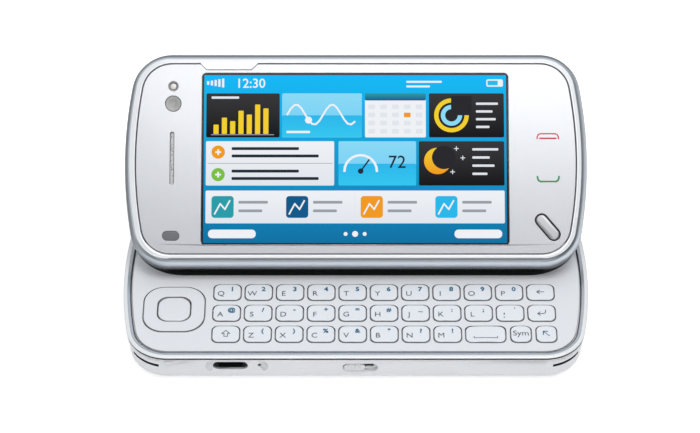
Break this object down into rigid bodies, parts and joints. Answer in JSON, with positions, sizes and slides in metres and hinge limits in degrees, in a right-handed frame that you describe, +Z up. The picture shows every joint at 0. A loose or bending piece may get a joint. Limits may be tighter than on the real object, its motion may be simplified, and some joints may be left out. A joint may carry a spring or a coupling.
{
  "type": "slider phone",
  "caption": "Side-slide phone, lying open: a tilted touch screen half on a hinged slide over a deck with a letter keyboard and a direction pad.",
  "frame": {"origin": "centre of the base's flat underside", "axes": "+Z up out of the deck, +X to the right along the keyboard, +Y to the back, where the open lid goes"},
  "size_m": [0.1172, 0.0742, 0.0447],
  "materials": {
    "pearl_shell": "pearl gloss",
    "deck_pearl": "pearl satin",
    "trim_chrome": "polished",
    "keycap_white": "satin",
    "steel": "brushed",
    "display_glass": "gloss",
    "dark_plastic": "matte",
    "board": "matte",
    "battery_wrap": "satin",
    "keymat_rubber": "matte"
  },
  "bodies": {
    "base": {"base_housing": "pearl_shell", "deck_plate": "deck_pearl", "base_trim": "trim_chrome", "battery": "battery_wrap", "main_board": "board", "keymat": "keymat_rubber", "ports_and_speakers": "dark_plastic", "rear_camera": "dark_plastic", "case_screws": "steel"},
    "sled": {"slide_sled": "steel"},
    "carriage": {"slide_carriage": "steel", "hinge_pins": "trim_chrome"},
    "lid": {"lid_back_cover": "pearl_shell", "lid_bezel": "trim_chrome", "face_plate": "deck_pearl", "display": "display_glass", "lid_electronics": "board"},
    "stays": {"stay_arms": "trim_chrome"},
    "menu": {"menu_key": "trim_chrome"},
    "volume": {"volume_key": "trim_chrome"},
    "shutter": {"shutter_key": "trim_chrome"},
    "power": {"power_key": "trim_chrome"},
    "lock": {"lock_switch": "deck_pearl"},
    "lens_slide": {"lens_cover": "trim_chrome"},
    "back_door": {"battery_cover": "pearl_shell"},
    "pad": {"dpad_ring": "keycap_white"},
    "select": {"select_key": "keycap_white"},
    "cap_q": {"keycap_q": "keycap_white"},
    "cap_w": {"keycap_w": "keycap_white"},
    "cap_e": {"keycap_e": "keycap_white"},
    "cap_r": {"keycap_r": "keycap_white"},
    "cap_t": {"keycap_t": "keycap_white"},
    "cap_y": {"keycap_y": "keycap_white"},
    "cap_u": {"keycap_u": "keycap_white"},
    "cap_i": {"keycap_i": "keycap_white"},
    "cap_o": {"keycap_o": "keycap_white"},
    "cap_p": {"keycap_p": "keycap_white"},
    "cap_backspace": {"keycap_backspace": "keycap_white"},
    "cap_a": {"keycap_a": "keycap_white"},
    "cap_s": {"keycap_s": "keycap_white"},
    "cap_d": {"keycap_d": "keycap_white"},
    "cap_f": {"keycap_f": "keycap_white"},
    "cap_g": {"keycap_g": "keycap_white"},
    "cap_h": {"keycap_h": "keycap_white"},
    "cap_j": {"keycap_j": "keycap_white"},
    "cap_k": {"keycap_k": "keycap_white"},
    "cap_l": {"keycap_l": "keycap_white"},
    "cap_dot": {"keycap_dot": "keycap_white"},
    "cap_enter": {"keycap_enter": "keycap_white"},
    "cap_shift": {"keycap_shift": "keycap_white"},
    "cap_z": {"keycap_z": "keycap_white"},
    "cap_x": {"keycap_x": "keycap_white"},
    "cap_c": {"keycap_c": "keycap_white"},
    "cap_v": {"keycap_v": "keycap_white"},
    "cap_b": {"keycap_b": "keycap_white"},
    "cap_n": {"keycap_n": "keycap_white"},
    "cap_m": {"keycap_m": "keycap_white"},
    "cap_space": {"keycap_space": "keycap_white"},
    "cap_sym": {"keycap_sym": "keycap_white"},
    "cap_ctrl": {"keycap_ctrl": "keycap_white"}
  },
  "joints": [
    {"name": "lid_slide", "type": "slide", "parent": "base", "child": "carriage", "axis": [0, 1, 0], "range_m": [-0.0283, 0]},
    {"name": "sled_slide", "type": "slide", "parent": "base", "child": "sled", "axis": [0, 1, 0], "range_m": [-0.01415, 0]},
    {"name": "lid_tilt", "type": "hinge", "parent": "carriage", "child": "lid", "pos_m": [0, 0.00285, 0.0115], "axis": [1, 0, 0], "range_deg": [-35.4, 0]},
    {"name": "stay_swing", "type": "hinge", "parent": "lid", "child": "stays", "pos_m": [0, 0.01182, 0.01787], "axis": [1, 0, 0], "range_deg": [0, 70.8]},
    {"name": "press_q", "type": "slide", "parent": "base", "child": "cap_q", "axis": [0, 0, -1], "range_m": [0, 0.0003], "stiffness_N_per_m": 1500},
    {"name": "press_w", "type": "slide", "parent": "base", "child": "cap_w", "axis": [0, 0, -1], "range_m": [0, 0.0003], "stiffness_N_per_m": 1500},
    {"name": "press_e", "type": "slide", "parent": "base", "child": "cap_e", "axis": [0, 0, -1], "range_m": [0, 0.0003], "stiffness_N_per_m": 1500},
    {"name": "press_r", "type": "slide", "parent": "base", "child": "cap_r", "axis": [0, 0, -1], "range_m": [0, 0.0003], "stiffness_N_per_m": 1500},
    {"name": "press_t", "type": "slide", "parent": "base", "child": "cap_t", "axis": [0, 0, -1], "range_m": [0, 0.0003], "stiffness_N_per_m": 1500},
    {"name": "press_y", "type": "slide", "parent": "base", "child": "cap_y", "axis": [0, 0, -1], "range_m": [0, 0.0003], "stiffness_N_per_m": 1500},
    {"name": "press_u", "type": "slide", "parent": "base", "child": "cap_u", "axis": [0, 0, -1], "range_m": [0, 0.0003], "stiffness_N_per_m": 1500},
    {"name": "press_i", "type": "slide", "parent": "base", "child": "cap_i", "axis": [0, 0, -1], "range_m": [0, 0.0003], "stiffness_N_per_m": 1500},
    {"name": "press_o", "type": "slide", "parent": "base", "child": "cap_o", "axis": [0, 0, -1], "range_m": [0, 0.0003], "stiffness_N_per_m": 1500},
    {"name": "press_p", "type": "slide", "parent": "base", "child": "cap_p", "axis": [0, 0, -1], "range_m": [0, 0.0003], "stiffness_N_per_m": 1500},
    {"name": "press_backspace", "type": "slide", "parent": "base", "child": "cap_backspace", "axis": [0, 0, -1], "range_m": [0, 0.0003], "stiffness_N_per_m": 1500},
    {"name": "press_a", "type": "slide", "parent": "base", "child": "cap_a", "axis": [0, 0, -1], "range_m": [0, 0.0003], "stiffness_N_per_m": 1500},
    {"name": "press_s", "type": "slide", "parent": "base", "child": "cap_s", "axis": [0, 0, -1], "range_m": [0, 0.0003], "stiffness_N_per_m": 1500},
    {"name": "press_d", "type": "slide", "parent": "base", "child": "cap_d", "axis": [0, 0, -1], "range_m": [0, 0.0003], "stiffness_N_per_m": 1500},
    {"name": "press_f", "type": "slide", "parent": "base", "child": "cap_f", "axis": [0, 0, -1], "range_m": [0, 0.0003], "stiffness_N_per_m": 1500},
    {"name": "press_g", "type": "slide", "parent": "base", "child": "cap_g", "axis": [0, 0, -1], "range_m": [0, 0.0003], "stiffness_N_per_m": 1500},
    {"name": "press_h", "type": "slide", "parent": "base", "child": "cap_h", "axis": [0, 0, -1], "range_m": [0, 0.0003], "stiffness_N_per_m": 1500},
    {"name": "press_j", "type": "slide", "parent": "base", "child": "cap_j", "axis": [0, 0, -1], "range_m": [0, 0.0003], "stiffness_N_per_m": 1500},
    {"name": "press_k", "type": "slide", "parent": "base", "child": "cap_k", "axis": [0, 0, -1], "range_m": [0, 0.0003], "stiffness_N_per_m": 1500},
    {"name": "press_l", "type": "slide", "parent": "base", "child": "cap_l", "axis": [0, 0, -1], "range_m": [0, 0.0003], "stiffness_N_per_m": 1500},
    {"name": "press_dot", "type": "slide", "parent": "base", "child": "cap_dot", "axis": [0, 0, -1], "range_m": [0, 0.0003], "stiffness_N_per_m": 1500},
    {"name": "press_enter", "type": "slide", "parent": "base", "child": "cap_enter", "axis": [0, 0, -1], "range_m": [0, 0.0003], "stiffness_N_per_m": 1500},
    {"name": "press_shift", "type": "slide", "parent": "base", "child": "cap_shift", "axis": [0, 0, -1], "range_m": [0, 0.0003], "stiffness_N_per_m": 1500},
    {"name": "press_z", "type": "slide", "parent": "base", "child": "cap_z", "axis": [0, 0, -1], "range_m": [0, 0.0003], "stiffness_N_per_m": 1500},
    {"name": "press_x", "type": "slide", "parent": "base", "child": "cap_x", "axis": [0, 0, -1], "range_m": [0, 0.0003], "stiffness_N_per_m": 1500},
    {"name": "press_c", "type": "slide", "parent": "base", "child": "cap_c", "axis": [0, 0, -1], "range_m": [0, 0.0003], "stiffness_N_per_m": 1500},
    {"name": "press_v", "type": "slide", "parent": "base", "child": "cap_v", "axis": [0, 0, -1], "range_m": [0, 0.0003], "stiffness_N_per_m": 1500},
    {"name": "press_b", "type": "slide", "parent": "base", "child": "cap_b", "axis": [0, 0, -1], "range_m": [0, 0.0003], "stiffness_N_per_m": 1500},
    {"name": "press_n", "type": "slide", "parent": "base", "child": "cap_n", "axis": [0, 0, -1], "range_m": [0, 0.0003], "stiffness_N_per_m": 1500},
    {"name": "press_m", "type": "slide", "parent": "base", "child": "cap_m", "axis": [0, 0, -1], "range_m": [0, 0.0003], "stiffness_N_per_m": 1500},
    {"name": "press_space", "type": "slide", "parent": "base", "child": "cap_space", "axis": [0, 0, -1], "range_m": [0, 0.0003], "stiffness_N_per_m": 1500},
    {"name": "press_sym", "type": "slide", "parent": "base", "child": "cap_sym", "axis": [0, 0, -1], "range_m": [0, 0.0003], "stiffness_N_per_m": 1500},
    {"name": "press_ctrl", "type": "slide", "parent": "base", "child": "cap_ctrl", "axis": [0, 0, -1], "range_m": [0, 0.0003], "stiffness_N_per_m": 1500},
    {"name": "press_pad", "type": "slide", "parent": "base", "child": "pad", "axis": [0, 0, -1], "range_m": [0, 0.0003], "stiffness_N_per_m": 1500},
    {"name": "press_select", "type": "slide", "parent": "base", "child": "select", "axis": [0, 0, -1], "range_m": [0, 0.0003], "stiffness_N_per_m": 1500},
    {"name": "press_menu", "type": "slide", "parent": "lid", "child": "menu", "axis": [0, 0.5793, -0.8151], "range_m": [0, 0.0003], "stiffness_N_per_m": 1500},
    {"name": "press_shutter", "type": "slide", "parent": "base", "child": "shutter", "axis": [0, -1, 0], "range_m": [0, 0.00035], "stiffness_N_per_m": 1500},
    {"name": "press_power", "type": "slide", "parent": "base", "child": "power", "axis": [1, 0, 0], "range_m": [0, 0.00035], "stiffness_N_per_m": 1500},
    {"name": "volume_rock", "type": "hinge", "parent": "base", "child": "volume", "pos_m": [-0.02, 0.0255, 0.0044], "axis": [0, 0, 1], "range_deg": [-1.2, 1.2], "stiffness_Nm_per_rad": 0.2},
    {"name": "lock_slide", "type": "slide", "parent": "base", "child": "lock", "axis": [1, 0, 0], "range_m": [0, 0.0029], "stiffness_N_per_m": 150},
    {"name": "lens_cover_slide", "type": "slide", "parent": "base", "child": "lens_slide", "axis": [1, 0, 0], "range_m": [0, 0.0145]},
    {"name": "battery_cover_off", "type": "slide", "parent": "base", "child": "back_door", "axis": [0, 0, -1], "range_m": [0, 0.012]}
  ],
  "couplings": [
    {"joint": "sled_slide", "follows": "lid_slide", "ratio": 0.5},
    {"joint": "stay_swing", "follows": "lid_tilt", "ratio": -2}
  ]
}
